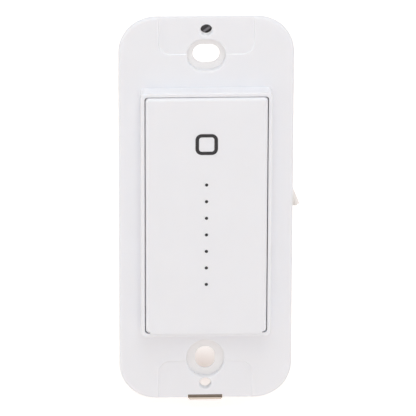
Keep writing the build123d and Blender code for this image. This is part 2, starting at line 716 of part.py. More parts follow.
def inner_frame():
    outline = rounded(FRAME_W, FRAME_H, HOUSING_R - HOUSING_WALL / 2)
    rim = outline - rounded(FRAME_W - 2 * FRAME_RIM, FRAME_H - 2 * FRAME_RIM, HOUSING_R / 2)
    body = slab(outline, FRAME_REAR, FRAME_FRONT) + slab(rim, FRAME_FRONT, 0)
    for x, z in well_places():
        body += slab(at(x, z, Circle(WELL_R)), FRAME_REAR, 0) & slab(outline, FRAME_REAR, 0)
        body -= slab(at(x, z, Circle(SCREW_R + SCREW_FIT)), FRAME_REAR + OVERRUN, -OVERRUN)
    slot_w = BLADE_W + 2 * CARRIER_SIDE_GAP
    slot_low = ARM_TOP - AIRGAP_TRAVEL - BLADE_THICK - CARRIER_SIDE_GAP
    slot_high = ARM_TOP + CARRIER_SIDE_GAP
    body -= box_between((-slot_w / 2, -OVERRUN, slot_low), (slot_w / 2, FRAME_REAR + OVERRUN, slot_high))
    for side in (1, -1):
        low = min(side * RAIL_X, side * (RAIL_X + RAIL_THICK))
        rail_end = FRAME_REAR + RAIL_REACH
        body += box_between((low, FRAME_REAR, RAIL_BOTTOM), (low + RAIL_THICK, rail_end, RAIL_TOP))
        for z in (FRAME_POST_LOW, FRAME_POST_HIGH):
            body += slab(at(side * FRAME_POST_X, z, Circle(FRAME_POST_R)), CONTROL_Y, FRAME_REAR)
    leg_x = SPREADER_X - SPREADER_THICK / 2
    leg_slot = Rectangle(SPREADER_THICK + 2 * FRAME_GAP, SPREADER_H + 2 * FRAME_GAP)
    body -= slab(at(leg_x, SPREADER_Z, leg_slot), FRAME_REAR + OVERRUN, FRAME_FRONT - OVERRUN)
    window = rounded(HEADER_W + 2 * FRAME_GAP, HEADER_H + 2 * FRAME_GAP, FRAME_GAP)
    return body - slab(at(HEADER_X, HEADER_Z, window), FRAME_REAR + OVERRUN, FRAME_FRONT - OVERRUN)


def airgap_blade():
    """Forked metal blade: its arms pass the fixing recess and bend back into the housing."""
    tab_bottom = BEZEL_BOTTOM - TAB_DROP
    shoulder = BEZEL_BOTTOM + STRAP_INSET + AIRGAP_TRAVEL + SKIRT_GAP
    cup_room = CUP_WALL + CARRIER_SIDE_GAP
    cup_w = RECESS_BOTTOM_W + 2 * cup_room
    tab_h = shoulder - tab_bottom + TAB_R
    plate = at(0, tab_bottom + tab_h / 2, rounded(TAB_W, tab_h, TAB_R))
    lip = plate & at(0, tab_bottom + BLADE_THICK / 2, Rectangle(TAB_W, BLADE_THICK))
    wide_h = ARM_TOP - shoulder
    plate += at(0, shoulder + wide_h / 2, Rectangle(BLADE_W, wide_h))
    plate -= bottom_recess(cup_room)
    gap_low = -FIXING_Z
    plate -= at(0, gap_low + (ARM_TOP + OVERRUN - gap_low) / 2, Rectangle(cup_w, ARM_TOP + OVERRUN - gap_low))
    slot_h = 2 * BLADE_SLOT_R + AIRGAP_TRAVEL
    plate -= at(0, -COVER_Z - BLADE_SLOT_R + slot_h / 2, upright_slot(2 * BLADE_SLOT_R, slot_h))
    body = slab(plate, BLADE_REAR, BLADE_FRONT)
    body += slab(lip, BLADE_REAR, BLADE_FRONT - TAB_LIP)
    for side in (1, -1):
        low = side * ARM_X - ARM_W / 2
        body += box_between((low, BLADE_FRONT, ARM_TOP - BLADE_THICK), (low + ARM_W, TONGUE_REACH, ARM_TOP))
    return body


def airgap_carrier():
    half = RAIL_X - CARRIER_SIDE_GAP / 2
    bottom = CARRIER_TOP - CARRIER_H
    body = box_between((-half, CARRIER_FRONT, bottom), (half, CARRIER_REAR, CARRIER_TOP + CARRIER_R))
    body = fillet(body.edges().filter_by(Axis.Y), CARRIER_R)
    for side in (1, -1):
        low = side * ARM_X - ARM_W / 2
        body -= box_between((low, CARRIER_FRONT - OVERRUN, ARM_TOP - BLADE_THICK),
                            (low + ARM_W, TONGUE_REACH, ARM_TOP))
    return body


def bridge_middle():
    return CARRIER_TOP - CARRIER_H / 2


def airgap_bridge():
    outline = at(0, bridge_middle(), rounded(BRIDGE_W, BRIDGE_H, BRIDGE_H / 3))
    return slab(outline, BRIDGE_REAR, CARRIER_REAR)


def airgap_contacts():
    """Two leaves that the bridge joins while the pull is in, each run back to the power board."""
    low = bridge_middle() + BRIDGE_H / 2 - CONTACT_OVERLAP
    high = low + CONTACT_LENGTH
    leaves = []
    for side in (1, -1):
        x0 = side * CONTACT_X - CONTACT_W / 2
        x1 = x0 + CONTACT_W
        leaf = box_between((x0, CONTACT_FRONT, low), (x1, CONTACT_FRONT + CONTACT_THICK, high))
        leaf += box_between((x0, CONTACT_FRONT, high - CONTACT_THICK), (x1, POWER_Y, high))
        leaves.append(leaf)
    return group(leaves)


def control_board():
    middle = (CONTROL_TOP + CONTROL_BOTTOM) / 2
    outline = at(0, middle, rounded(CONTROL_W, CONTROL_TOP - CONTROL_BOTTOM, BOARD_R))
    for x, z in well_places():
        outline -= at(x, z, Circle(WELL_R + WELL_WALL + FRAME_GAP))
    return slab(outline, CONTROL_Y + BOARD_THICK, CONTROL_Y)


def radio_shield():
    rear = CONTROL_Y + BOARD_THICK
    can = slab(at(SHIELD_X, SHIELD_Z, rounded(SHIELD_W, SHIELD_H, SOFT_EDGE)), rear + SHIELD_THICK, rear)
    inside = rounded(SHIELD_W - 2 * SHIELD_WALL, SHIELD_H - 2 * SHIELD_WALL, SHIELD_WALL)
    return can - slab(at(SHIELD_X, SHIELD_Z, inside), rear + SHIELD_THICK - SHIELD_WALL, rear - OVERRUN)


def board_header():
    """Pin strip that joins the front board to the control board through the inner frame."""
    block = at(HEADER_X, HEADER_Z, rounded(HEADER_W, HEADER_H, HEADER_W / 8))
    body = slab(block, CONTROL_Y, FRAME_FRONT)
    for i in range(HEADER_PIN_COUNT):
        z = HEADER_Z + (i - (HEADER_PIN_COUNT - 1) / 2) * HEADER_PIN_PITCH
        pin = at(HEADER_X, z, Circle(HEADER_PIN_R))
        body += slab(pin, CONTROL_Y, FRAME_FRONT)
    return body


def power_board():
    outline = rounded(POWER_W, POWER_H, POWER_R)
    for x, z in well_places():
        outline -= at(x, z, Circle(WELL_R + WELL_WALL + FRAME_GAP))
    slot_x = SPREADER_X - SPREADER_THICK / 2
    slot_w = SPREADER_THICK + 2 * FRAME_GAP
    outline -= at(slot_x, SPREADER_Z, Rectangle(slot_w, SPREADER_H + 2 * FRAME_GAP))
    return slab(outline, POWER_REAR, POWER_Y)


def choke_middle():
    return Pos(CHOKE_X, POWER_REAR + CHOKE_SEAT + CHOKE_TUBE + WINDING_THICK, CHOKE_Z)


def choke_core():
    return choke_middle() * Rot(90, 0, 0) * Torus(CHOKE_R, CHOKE_TUBE)


def choke_winding():
    """The copper winding as one layer over the core, open where its ends leave."""
    layer = Torus(CHOKE_R, CHOKE_TUBE + WINDING_THICK, major_angle=WINDING_ANGLE)
    return choke_middle() * Rot(90, 0, 0) * (layer - Torus(CHOKE_R, CHOKE_TUBE))


def choke_band():
    """Insulating ring under the choke, which carries it on the board."""
    seat = Circle(CHOKE_R + CHOKE_TUBE / 2) - Circle(CHOKE_R - CHOKE_TUBE / 2)
    rear = POWER_REAR + CHOKE_SEAT + WINDING_THICK
    ring = Torus(CHOKE_R, CHOKE_TUBE + WINDING_THICK)
    return slab(at(CHOKE_X, CHOKE_Z, seat), rear, POWER_REAR) - choke_middle() * Rot(90, 0, 0) * ring


def storage_capacitor():
    can = slab(at(CAN_X, CAN_Z, Circle(CAN_R)), POWER_REAR + CAN_H, POWER_REAR)
    can = chamfer(front_edges(can, POWER_REAR + CAN_H), SOFT_EDGE)
    groove_y = POWER_REAR + CAN_H / 6
    groove = Circle(CAN_R + OVERRUN) - Circle(CAN_R - CAN_GROOVE)
    return can - slab(at(CAN_X, CAN_Z, groove), groove_y + CAN_GROOVE, groove_y - CAN_GROOVE)


def film_capacitor():
    body = slab(at(FILM_X, FILM_Z, Rectangle(FILM_W, FILM_T)), POWER_REAR + FILM_H, POWER_REAR)
    return fillet(body.edges().filter_by(Axis.Y), SOFT_EDGE)


def fuse():
    body = slab(at(FUSE_X, FUSE_Z, Circle(FUSE_R)), POWER_REAR + FUSE_H, POWER_REAR)
    return chamfer(front_edges(body, POWER_REAR + FUSE_H), SOFT_EDGE)


def surge_disc():
    plane = Plane(origin=(DISC_X, POWER_REAR + DISC_R, DISC_Z - DISC_T / 2), z_dir=(0, 0, 1))
    disc = extrude(plane * Circle(DISC_R), amount=DISC_T)
    return chamfer(disc.edges(), SOFT_EDGE)


def transformer_core():
    """Two outer limbs and two yokes round the coil."""
    outer = Rectangle(CORE_W, CORE_H)
    inner = Rectangle(CORE_W - 2 * CORE_LIMB, CORE_H + 2 * OVERRUN)
    limbs = slab(at(CORE_X, CORE_Z, outer - inner), POWER_REAR + CORE_DEPTH, POWER_REAR)
    yoke = at(CORE_X, CORE_Z, Rectangle(CORE_W - CORE_LIMB, CORE_H))
    limbs += slab(yoke, POWER_REAR + CORE_DEPTH, POWER_REAR + CORE_DEPTH - CORE_LIMB)
    return limbs + slab(yoke, POWER_REAR + CORE_LIMB, POWER_REAR)


def transformer_coil():
    radius = CORE_W / 2 - CORE_LIMB - FRAME_GAP / 2
    low = POWER_REAR + CORE_LIMB
    high = POWER_REAR + CORE_DEPTH - CORE_LIMB
    return slab(at(CORE_X, CORE_Z, Circle(radius)), high, low)


def heat_spreader():
    """Aluminium angle: its flange lies under the strap and its leg cools the transistors."""
    x1 = SPREADER_X
    low = SPREADER_Z - SPREADER_H / 2
    high = SPREADER_Z + SPREADER_H / 2
    leg = box_between((x1 - SPREADER_THICK, 0, low), (x1, SPREADER_DEEP, high))
    leg += box_between((x1 - SPREADER_FLANGE, 0, low), (x1, SPREADER_THICK, high))
    corners = leg.edges().filter_by(Axis.X).filter_by_position(Axis.Y, SPREADER_DEEP, SPREADER_DEEP)
    return fillet(corners, SOFT_EDGE)


def transistor_places():
    return [SPREADER_Z + side * TRANSISTOR_PITCH / 2 for side in (1, -1)]


def power_transistors():
    x1 = SPREADER_X - SPREADER_THICK - INSULATOR_THICK
    packs = []
    for z in transistor_places():
        low = (x1 - TRANSISTOR_W, TRANSISTOR_FROM, z - TRANSISTOR_H / 2)
        pack = box_between(low, (x1, TRANSISTOR_FROM + TRANSISTOR_L, z + TRANSISTOR_H / 2))
        pack = chamfer(pack.edges().filter_by(Axis.X), SOFT_EDGE / 2)
        packs.append(pack - clamp_hole(z, CLAMP_SCREW_R + SCREW_FIT))
    return group(packs)


def clamp_hole(z, radius):
    start = SPREADER_X - SPREADER_THICK - INSULATOR_THICK - TRANSISTOR_W
    plane = Plane(origin=(start, TRANSISTOR_FROM + TRANSISTOR_L / 2, z), z_dir=(1, 0, 0))
    return extrude(plane * Circle(radius), amount=TRANSISTOR_W + INSULATOR_THICK)


def transistor_screws():
    screws = []
    start = SPREADER_X - SPREADER_THICK - INSULATOR_THICK - TRANSISTOR_W
    for z in transistor_places():
        plane = Plane(origin=(start, TRANSISTOR_FROM + TRANSISTOR_L / 2, z), z_dir=(-1, 0, 0))
        head = extrude(plane * Circle(CLAMP_HEAD_R), amount=CLAMP_HEAD_H)
        screws.append(head + clamp_hole(z, CLAMP_SCREW_R))
    return group(screws)


def insulating_pad():
    x1 = SPREADER_X - SPREADER_THICK
    low = SPREADER_Z - TRANSISTOR_PITCH / 2 - TRANSISTOR_H / 2
    high = SPREADER_Z + TRANSISTOR_PITCH / 2 + TRANSISTOR_H / 2
    end = TRANSISTOR_FROM + TRANSISTOR_L
    pad = box_between((x1 - INSULATOR_THICK, TRANSISTOR_FROM, low), (x1, end, high))
    for z in transistor_places():
        pad -= clamp_hole(z, CLAMP_SCREW_R + SCREW_FIT)
    return pad


def bend_radii(points):
    """Each bend is as large as its two runs allow."""
    radii = []
    for a, b, c in zip(points, points[1:], points[2:]):
        into = Vector(*b) - Vector(*a)
        out = Vector(*c) - Vector(*b)
        half_turn = math.radians(into.get_angle(out)) / 2
        radii.append(BEND_SHARE * min(into.length, out.length) / math.tan(half_turn))
    return radii


def black_lead():
    radii = bend_radii(LEAD_ROUTE)
    print("lead bend radii", [round(r, 1) for r in radii])
    path = FilletPolyline(*LEAD_ROUTE, radius=radii)
    section = Plane(path @ 0, z_dir=path % 0) * Circle(LEAD_R)
    lead = sweep(section, path=path)
    print("lead length", round(path.length, 1), "volume ratio",
          round(lead.volume / (path.length * math.pi * LEAD_R ** 2), 4))
    return lead


def lead_strands():
    """Bare tinned end of the lead: it starts along the lead's last run and is rounded at its tip."""
    start = Vector(*LEAD_ROUTE[-1])
    last_run = start - Vector(*LEAD_ROUTE[-2])
    knee = start + last_run.normalized() * STRAND_KNEE
    points = [tuple(start), tuple(knee), STRAND_TIP]
    path = FilletPolyline(*points, radius=bend_radii(points))
    rod = sweep(Plane(path @ 0, z_dir=path % 0) * Circle(STRAND_R), path=path)
    tip = rod.faces().sort_by(Axis.Z)[0]
    return fillet(tip.edges(), STRAND_END_R)


PARTS = {
    "bezel": bezel,
    "paddle": paddle,
    "mark_window": mark_window,
    "dot_windows": dot_windows,
    "light_guide": light_guide,
    "paddle_springs": paddle_springs,
    "front_board": front_board,
    "level_lamps": level_lamps,
    "tact_switch": tact_switch,
    "tact_plunger": tact_plunger,
    "strap": strap,
    "rear_housing": rear_housing,
    "lead_seals": lead_seals,
    "housing_screws": housing_screws,
    "inner_frame": inner_frame,
    "airgap_blade": airgap_blade,
    "airgap_carrier": airgap_carrier,
    "airgap_bridge": airgap_bridge,
    "airgap_contacts": airgap_contacts,
    "control_board": control_board,
    "radio_shield": radio_shield,
    "board_header": board_header,
    "power_board": power_board,
    "choke_core": choke_core,
    "choke_winding": choke_winding,
    "choke_band": choke_band,
    "storage_capacitor": storage_capacitor,
    "film_capacitor": film_capacitor,
    "fuse": fuse,
    "surge_disc": surge_disc,
    "transformer_core": transformer_core,
    "transformer_coil": transformer_coil,
    "heat_spreader": heat_spreader,
    "power_transistors": power_transistors,
    "transistor_screws": transistor_screws,
    "insulating_pad": insulating_pad,
    "black_lead": black_lead,
    "lead_strands": lead_strands,
}

os.makedirs("parts", exist_ok=True)
for part_name, make in PARTS.items():
    save(part_name, make())
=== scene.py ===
"""A single-gang smart dimmer: finishes, moulded skins, its lead and the photograph's view."""
import json
import math

import bmesh
import bpy
from bpy.props import FloatProperty, FloatVectorProperty, IntProperty, PointerProperty
from bpy.types import Operator, Panel, PropertyGroup
from mathutils import Matrix, Vector

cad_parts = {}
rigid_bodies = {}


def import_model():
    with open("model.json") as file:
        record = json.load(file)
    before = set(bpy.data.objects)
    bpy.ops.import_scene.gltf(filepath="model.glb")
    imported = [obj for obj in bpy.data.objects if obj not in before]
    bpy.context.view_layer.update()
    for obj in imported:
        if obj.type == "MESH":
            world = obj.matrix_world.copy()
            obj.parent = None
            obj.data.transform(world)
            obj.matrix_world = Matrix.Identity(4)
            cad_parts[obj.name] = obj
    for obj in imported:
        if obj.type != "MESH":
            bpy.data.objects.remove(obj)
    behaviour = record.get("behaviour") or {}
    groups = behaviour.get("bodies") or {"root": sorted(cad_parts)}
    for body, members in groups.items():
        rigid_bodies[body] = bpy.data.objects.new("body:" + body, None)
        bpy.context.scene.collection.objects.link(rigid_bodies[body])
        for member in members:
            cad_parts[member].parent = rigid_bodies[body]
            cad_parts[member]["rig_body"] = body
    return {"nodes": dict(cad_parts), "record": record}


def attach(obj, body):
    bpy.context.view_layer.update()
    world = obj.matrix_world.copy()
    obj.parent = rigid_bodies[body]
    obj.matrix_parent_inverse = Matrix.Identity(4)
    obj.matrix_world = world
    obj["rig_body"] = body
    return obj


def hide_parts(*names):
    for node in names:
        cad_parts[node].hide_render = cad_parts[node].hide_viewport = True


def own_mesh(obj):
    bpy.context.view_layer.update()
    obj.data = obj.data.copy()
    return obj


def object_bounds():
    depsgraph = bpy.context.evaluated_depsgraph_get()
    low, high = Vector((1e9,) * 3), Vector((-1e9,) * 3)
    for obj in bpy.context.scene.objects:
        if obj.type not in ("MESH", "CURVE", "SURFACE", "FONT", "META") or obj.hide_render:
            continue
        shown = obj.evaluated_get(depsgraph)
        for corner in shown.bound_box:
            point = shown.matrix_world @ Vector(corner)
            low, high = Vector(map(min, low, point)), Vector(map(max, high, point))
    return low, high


bl_info = {
    "name": "Wall dimmer looks",
    "version": (1, 0, 0),
    "blender": (4, 5, 0),
    "location": "View3D > Sidebar > Dimmer",
    "description": "Builds the finishes, the lead and the studio of a wall-box dimmer",
    "category": "Object",
}

MM = 0.001
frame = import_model()
NODES = frame["nodes"]
CAD_LOW, CAD_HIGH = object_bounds()
SLOTS = {part["node"]: part["material_slot"] for part in frame["record"]["subparts"]}

# The lead's route in metres, the same points as the construction model's
LEAD_ROUTE = [
    (-0.0120, 0.0352, -0.0190),
    (-0.0120, 0.0442, -0.0190),
    (-0.0118, 0.0498, -0.0121),
    (-0.0115, 0.0496, 0.0000),
    (-0.0105, 0.0455, 0.0135),
    (-0.0063, 0.0405, 0.0270),
    (0.0026, 0.0392, 0.0350),
    (0.0130, 0.0382, 0.0326),
    (0.0214, 0.0360, 0.0210),
    (0.0206, 0.0325, 0.0090),
    (0.0216, 0.0290, -0.0010),
]

# The bare strands in metres: how far they run straight on from the lead before they bend, and where they end
STRAND_KNEE = 0.004
STRAND_TIP = (0.02462, 0.0273, -0.0111)

# The lead's painted highlight, a lighter streak along it at its bend: its centre, its half lengths along the
# lead, in depth and across it, all in millimetres, and its turn. In depth it has no end, so that value isn't
# read
HIGHLIGHT_CENTRE = (1.35, 38.1, 33.5)
HIGHLIGHT_REACH = (2.2, 1.0, 0.46)
HIGHLIGHT_TURN = (0.0, math.radians(-36.87), 0.0)

# The bezel and the strap in millimetres: their faces' depths, the step down to the bezel's end pads,
# the cover screw holes' heights and width, and how much wider a smooth hole is than the solid's
BEZEL_FACE = -2.6
STRAP_FACE = -0.7
PAD_START = 41.95
PAD_SLOPE = 0.25
PAD_DEPTH = 0.3
COVER_HOLE_HEIGHTS = (48.42, -48.42)
COVER_HOLE_WIDTH = 2.95
HOLE_EASE = 0.03

# The fixing recesses and slots in millimetres: width, height and the centre's height
BEZEL_RECESSES = [(9.6, 8.3, 41.67), (9.4, 10.4, -41.37)]
STRAP_SLOTS = [(6.7, 4.8, 41.67), (4.85, 5.95, -41.67)]

# Heights in millimetres between which the pull tab's face lies in the notch's shade, painted dark into the
# blade's colour
NOTCH_SHADE = (-52.62, -51.4)

# The floor's height in metres, with room for the pull tab's travel
FLOOR_HEIGHT = CAD_LOW[2] - 0.0036

# The soft painted shade on the floor below the housing, in millimetres: its centre and its reach along X and
# Y
SHADE_CENTRE = (0.0, 27.0, FLOOR_HEIGHT / MM)
SHADE_REACH = (22.0, 18.0, 1.0)

# Materials


def hex_colour(text):
    """sRGB hex text to linear RGBA."""
    parts = [int(text[i:i + 2], 16) / 255 for i in (1, 3, 5)]
    linear = [c / 12.92 if c <= 0.04045 else ((c + 0.055) / 1.055) ** 2.4 for c in parts]
    return (*linear, 1.0)


def add(tree, kind, inputs=None, **settings):
    """Adds a node, sets its properties, and fills or links its inputs, hex text as a linear colour."""
    node = tree.nodes.new(kind)
    for name, value in settings.items():
        setattr(node, name, value)
    for name, value in (inputs or {}).items():
        if isinstance(value, bpy.types.NodeSocket):
            tree.links.new(value, node.inputs[name])
        else:
            node.inputs[name].default_value = hex_colour(value) if isinstance(value, str) else value
    return node


def started(name):
    """A new material with an empty tree, and its Object coordinates in millimetres."""
    material = bpy.data.materials.new(name)
    material.use_nodes = True
    tree = material.node_tree
    tree.nodes.clear()
    place = add(tree, "ShaderNodeTexCoord").outputs["Object"]
    in_mm = add(tree, "ShaderNodeVectorMath", {0: place, 1: (1 / MM,) * 3}, operation="MULTIPLY")
    return material, tree, in_mm.outputs[0]


def finished(material, shader):
    """The material, with this shader as its surface."""
    add(material.node_tree, "ShaderNodeOutputMaterial", {"Surface": shader.outputs[0]})
    return material


def mottled(tree, place, dark, light, patch, detail=3.0):
    """A soft change between two near colours, in patches of this size in millimetres."""
    noise = add(tree, "ShaderNodeTexNoise", {"Vector": place, "Scale": 1 / patch, "Detail": detail})
    mix = add(tree, "ShaderNodeMix", {0: noise.outputs[0], 6: dark, 7: light}, data_type="RGBA")
    return mix.outputs[2]


def grained(tree, place, size, depth):
    """A bump of grains of this size, both in millimetres."""
    noise = add(tree, "ShaderNodeTexNoise", {"Vector": place, "Scale": 1 / size, "Detail": 2.0})
    bump = add(tree, "ShaderNodeBump", {
        "Height": noise.outputs[0], "Strength": 1.0, "Distance": depth * MM})
    return bump.outputs[0]


def rolled(tree, place, dark, light):
    """The colour and the bump of the streaks that rolling leaves along X, 10 mm long and 1/6 mm wide."""
    streaks_per_mm = (0.1, 6.0, 6.0)
    stretched = add(tree, "ShaderNodeMapping", {"Vector": place, "Scale": streaks_per_mm})
    streaks = add(tree, "ShaderNodeTexNoise", {
        "Vector": stretched.outputs[0], "Scale": 1.0, "Detail": 5.0})
    colour = add(tree, "ShaderNodeMix", {0: streaks.outputs[0], 6: dark, 7: light}, data_type="RGBA")
    bump = add(tree, "ShaderNodeBump", {
        "Height": streaks.outputs[0], "Strength": 1.0, "Distance": 0.002 * MM})
    return colour.outputs[2], bump.outputs[0]


def moulded_plastic(name, dark, light, roughness=0.5, grain=0.25, depth=0.004, scatter=0.0):
    """Injection-moulded plastic: an even colour, light scattered inside, and its mould's spark texture.

    The real sparks, about 0.05 mm, are too fine to show and are drawn as coarse as grain says.
    """
    material, tree, place = started(name)
    return finished(material, add(tree, "ShaderNodeBsdfPrincipled", {
        "Base Color": mottled(tree, place, dark, light, patch=9.0),
        "Roughness": roughness,
        "IOR": 1.5,
        "Subsurface Weight": scatter,
        "Subsurface Radius": (1.0, 0.92, 0.85),
        "Subsurface Scale": 0.9 * MM,
        "Normal": grained(tree, place, grain, depth),
    }))


def front_plastic():
    """Satin ABS of the front: white with a little depth, as light goes into it."""
    colours = bpy.context.scene.dimmer_colours
    return moulded_plastic("satin abs", colours.front_dark, colours.front_light, scatter=0.35)


def housing_plastic():
    """Polycarbonate of the housing: a coarser spark texture breaks up the gloss of its large faces."""
    colours = bpy.context.scene.dimmer_colours
    return moulded_plastic("sparked polycarbonate", colours.housing_dark, colours.housing_light,
                           roughness=0.55, grain=0.35, depth=0.012)


def brushed_metal(name, dark, light, roughness):
    """Rolled or drawn metal: a dull gloss broken by streaks along the rolling direction."""
    material, tree, place = started(name)
    colour, bump = rolled(tree, place, dark, light)
    return finished(material, add(tree, "ShaderNodeBsdfPrincipled", {
        "Base Color": colour, "Metallic": 1.0, "Roughness": roughness, "Normal": bump,
    }))


def plated_blade_steel():
    """Nickel-plated steel, with painted shade in the band where the pull tab slides in the notch, darker
    towards the top.
    """
    material, tree, place = started("nickel-plated steel")
    plating, bump = rolled(tree, place, "#ada297", "#cfc5ba")
    height = add(tree, "ShaderNodeSeparateXYZ", {0: place}).outputs["Z"]
    bottom, top = NOTCH_SHADE
    fade = 0.12
    # The band of painted shade, with soft edges; the shade darkens towards the top, under the bezel
    above = add(tree, "ShaderNodeMapRange", {
        "Value": height, "From Min": bottom, "From Max": bottom + fade})
    below = add(tree, "ShaderNodeMapRange", {
        "Value": height, "From Min": top, "From Max": top + fade, "To Min": 1.0, "To Max": 0.0})
    in_painted_shade = add(tree, "ShaderNodeMath", {0: above.outputs[0], 1: below.outputs[0]}, operation="MULTIPLY")
    depth_in = add(tree, "ShaderNodeMapRange", {"Value": height, "From Min": bottom, "From Max": top})
    painted_shade = add(tree, "ShaderNodeMix", {
        0: depth_in.outputs[0], 6: "#938980", 7: "#352f2b"}, data_type="RGBA")
    colour = add(tree, "ShaderNodeMix", {
        0: in_painted_shade.outputs[0], 6: plating, 7: painted_shade.outputs[2]}, data_type="RGBA")
    return finished(material, add(tree, "ShaderNodeBsdfPrincipled", {
        "Base Color": colour.outputs[2], "Metallic": 1.0, "Roughness": 0.38, "Normal": bump,
    }))


def painted_steel():
    """Steel strap under white enamel: smooth, with a faint orange peel."""
    material, tree, place = started("enamelled steel")
    return finished(material, add(tree, "ShaderNodeBsdfPrincipled", {
        "Base Color": mottled(tree, place, "#eeeded", "#f3f2f2", patch=6.0),
        "Roughness": 0.38,
        "IOR": 1.5,
        "Coat Weight": 0.25,
        "Normal": grained(tree, place, size=0.9, depth=0.006),
    }))


def smoked_window():
    """Dark translucent PMMA of the mark and the level windows, flush in the paddle's face."""
    material, tree, place = started("smoked acrylic")
    return finished(material, add(tree, "ShaderNodeBsdfPrincipled", {
        "Base Color": mottled(tree, place, "#08070b", "#16131a", patch=0.6),
        "Roughness": 0.3,
        "IOR": 1.49,
        "Normal": grained(tree, place, size=0.2, depth=0.002),
    }))


def clear_guide():
    """Clear acrylic light guide behind the paddle's face."""
    material, tree, place = started("clear acrylic")
    return finished(material, add(tree, "ShaderNodeBsdfPrincipled", {
        "Base Color": mottled(tree, place, "#dfe6ea", "#f3f6f8", patch=2.0),
        "Roughness": 0.12,
        "IOR": 1.49,
        "Transmission Weight": 0.6,
        "Normal": grained(tree, place, size=1.5, depth=0.003),
    }))


def solder_mask():
    """Green circuit board: copper tracks, raised under the mask, with a joint every 2.8 mm along them."""
    material, tree, place = started("solder mask")
    tracks = add(tree, "ShaderNodeTexBrick", {
        "Vector": place, "Color1": "#14512c", "Color2": "#1b6638",
        "Mortar": "#2f8a52", "Scale": 0.18, "Mortar Size": 0.03,
    })
    bump = add(tree, "ShaderNodeBump", {
        "Height": tracks.outputs["Fac"], "Strength": 0.5, "Distance": 0.03 * MM})
    return finished(material, add(tree, "ShaderNodeBsdfPrincipled", {
        "Base Color": tracks.outputs["Color"], "Roughness": 0.3, "IOR": 1.55, "Normal": bump.outputs[0],
    }))


def vinyl_insulation():
    """Black extruded vinyl of the lead: half gloss, with drawing marks and dust, and a painted highlight at
    its bend.
    """
    material, tree, place = started("extruded vinyl")
    dusty = mottled(tree, place, "#060507", "#2f2c30", patch=1.1, detail=4.0)
    # A painted highlight: a lighter streak along the lead at its bend
    in_highlight = add(tree, "ShaderNodeMapping", {
        "Vector": place, "Location": HIGHLIGHT_CENTRE, "Rotation": HIGHLIGHT_TURN, "Scale": HIGHLIGHT_REACH},
        vector_type="TEXTURE")
    far = add(tree, "ShaderNodeVectorMath", {0: in_highlight.outputs[0]}, operation="ABSOLUTE")
    reach = add(tree, "ShaderNodeSeparateXYZ", {0: far.outputs[0]})
    along, across = [add(tree, "ShaderNodeMapRange", {
        "Value": reach.outputs[axis], "From Min": 0.15, "From Max": 1.0, "To Min": 1.0, "To Max": 0.0},
        interpolation_type="SMOOTHSTEP") for axis in ("X", "Z")]
    painted_highlight = add(tree, "ShaderNodeMath", {0: along.outputs[0], 1: across.outputs[0]}, operation="MULTIPLY")
    colour = add(tree, "ShaderNodeMix", {0: painted_highlight.outputs[0], 6: dusty, 7: "#7b787d"},
                 data_type="RGBA")
    return finished(material, add(tree, "ShaderNodeBsdfPrincipled", {
        "Base Color": colour.outputs[2],
        "Roughness": 0.3,
        "IOR": 1.48,
        "Normal": grained(tree, place, size=0.8, depth=0.01),
    }))


def tinned_strands():
    """Tinned copper strands: fine and pale, so that little of their light is left as a metal's gloss."""
    material, tree, place = started("tinned copper")
    return finished(material, add(tree, "ShaderNodeBsdfPrincipled", {
        "Base Color": mottled(tree, place, "#f1ece9", "#fdfcfb", patch=0.7),
        "Metallic": 0.2,
        "Roughness": 0.5,
        "Normal": grained(tree, place, size=0.3, depth=0.01),
    }))


FINISHES = {
    "white_plastic": front_plastic,
    "housing_plastic": housing_plastic,
    # Undyed, so a little yellow and dull
    "frame_plastic": lambda: moulded_plastic("natural nylon", "#d3d2cd", "#dcdbd6"),
    # Dark and half matt
    "black_plastic": lambda: moulded_plastic("black nylon", "#0d0d0e", "#17171a", 0.45),
    "dark_window": smoked_window,
    "clear_plastic": clear_guide,
    "circuit_board": solder_mask,
    # A smooth cream lens over the lamp's phosphor
    "lamp": lambda: moulded_plastic("lamp lens", "#efe9cf", "#f6f1dc", 0.25),
    "painted_steel": painted_steel,
    # Bright drawn wire
    "spring_steel": lambda: brushed_metal("spring steel", "#b9b7b3", "#cfcdc9", 0.3),
    "plated_steel": plated_blade_steel,
    # Clean enamelled wire, orange where it catches light
    "copper": lambda: brushed_metal("drawn copper", "#b4683f", "#d98b5c", 0.3),
    # A fired, granular core without gloss
    "ferrite": lambda: moulded_plastic("sintered ferrite", "#1c1c1e", "#2a2a2c", 0.7, 0.4, 0.02),
    # Thin sheet, grey with a soft shine
    "tinned_can": lambda: brushed_metal("tinplate", "#b9bbbd", "#cccecf", 0.4),
    # Paler and duller, as it leaves the rolls
    "aluminium": lambda: brushed_metal("mill-finish aluminium", "#b9bbbd", "#d2d4d5", 0.45),
    # Thin sleeves and coatings, tight and glossy
    "can_sleeve": lambda: moulded_plastic("shrunk sleeve", "#11141c", "#1a1e28", 0.3),
    "film_case": lambda: moulded_plastic("filled case", "#c49413", "#d6a41f", 0.35),
    "disc_coating": lambda: moulded_plastic("dipped epoxy", "#163a8c", "#1d4aa5", 0.3),
    "fuse_sleeve": lambda: moulded_plastic("fuse body", "#3a3129", "#463b31", 0.35),
    # Soft and matt, with a fine grain
    "pad_rubber": lambda: moulded_plastic("silicone pad", "#b6b6b9", "#c3c3c6", 0.6),
    "seal_rubber": lambda: moulded_plastic("moulded rubber", "#29292b", "#37373a", 0.65, 0.3, 0.01),
    "lead_insulation": vinyl_insulation,
    "tinned_copper": tinned_strands,
}
made_finishes = {}


def dress(item, slot_name):
    """Give an object the material of this slot, which is made on its first use."""
    if slot_name not in made_finishes:
        made_finishes[slot_name] = FINISHES[slot_name]()
    item.data.materials.clear()
    item.data.materials.append(made_finishes[slot_name])


# Shapes


